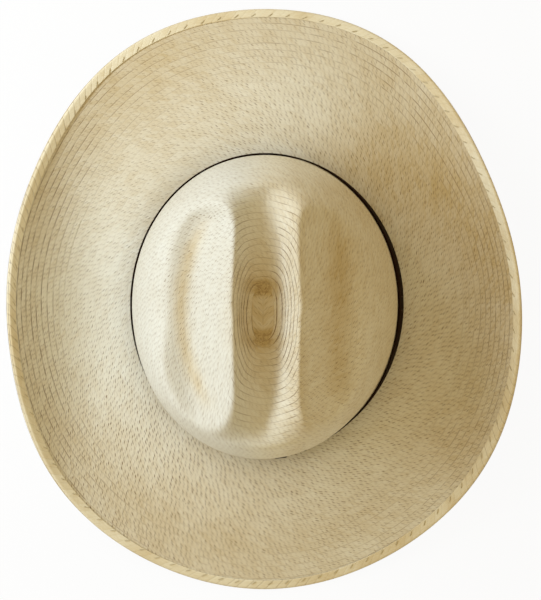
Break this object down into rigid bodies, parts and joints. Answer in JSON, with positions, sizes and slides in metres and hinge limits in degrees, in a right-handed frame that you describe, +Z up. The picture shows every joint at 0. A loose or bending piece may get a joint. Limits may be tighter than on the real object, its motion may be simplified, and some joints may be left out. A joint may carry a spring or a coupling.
{
  "type": "straw western hat",
  "caption": "Straw western hat with a creased oval crown, curled wide brim, folded braid edge, leather hatband and inner sweatband.",
  "frame": {"origin": "centre of the head opening, on the plane of the brim break where the crown's wall meets the brim", "axes": "+Z up towards the top of the crown, -Y towards the front of the hat, +X to the wearer's left"},
  "size_m": [0.3326, 0.394, 0.1341],
  "materials": {
    "straw_braid": "matte natural palm straw, sewn braid rows",
    "edge_braid": "smooth folded palm braid with a faint sheen",
    "straw_thread": "matte thread",
    "hatband_leather": "dark brown, low sheen",
    "dark_thread": "matte thread",
    "sweatband_leather": "tan, soft sheen",
    "reed": "smooth reed",
    "bow_ribbon": "satin ribbon"
  },
  "bodies": {
    "root": {"crown_side": "straw_braid", "crown_tip": "straw_braid", "crown_start_patch": "straw_braid", "brim": "straw_braid", "brim_edge_braid": "edge_braid", "brim_edge_stitches": "straw_thread", "hatband": "hatband_leather", "hatband_keeper": "hatband_leather", "hatband_tack_stitches": "dark_thread", "sweatband": "sweatband_leather", "sweatband_reed": "reed", "sweatband_stitches": "straw_thread", "sweatband_seam_stitches": "straw_thread", "sweatband_bow": "bow_ribbon"}
  },
  "joints": []
}
